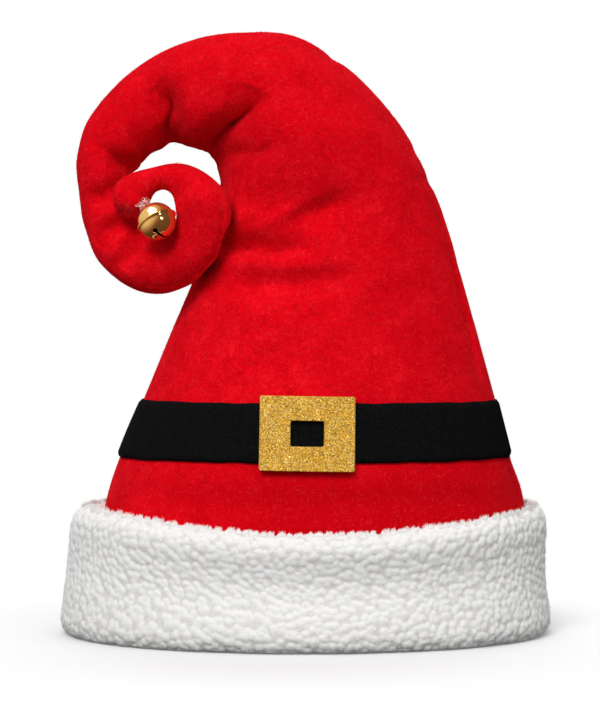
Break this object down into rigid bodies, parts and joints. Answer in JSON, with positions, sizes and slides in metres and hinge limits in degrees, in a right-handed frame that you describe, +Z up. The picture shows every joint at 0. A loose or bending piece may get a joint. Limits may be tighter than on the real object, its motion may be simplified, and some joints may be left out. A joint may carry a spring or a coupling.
{
  "type": "santa hat",
  "caption": "Costume hat: padded red plush crown curled over at the top, white sherpa cuff, black felt belt with a gold buckle, and a jingle bell at the tip.",
  "frame": {"origin": "middle of the cuff on the surface that the hat rests on", "axes": "+Z up from the rim to the arch, +X to the right as seen from the front, -Y towards the front where the buckle and bell are"},
  "size_m": [0.2616, 0.1901, 0.3217],
  "materials": {
    "red_plush": "short-pile red plush, padded",
    "white_sherpa": "thick white tufted sherpa fleece",
    "black_felt": "matt black felt",
    "gold_glitter": "foam sheet faced with coarse gold glitter",
    "gold_metal": "bright polished gold plating",
    "clear_thread": "clear nylon thread, glossy"
  },
  "bodies": {
    "root": {"crown": "red_plush", "cuff": "white_sherpa", "belt": "black_felt", "buckle": "gold_glitter", "bell": "gold_metal", "bell_pellet": "gold_metal", "bell_tie": "clear_thread"}
  },
  "joints": []
}
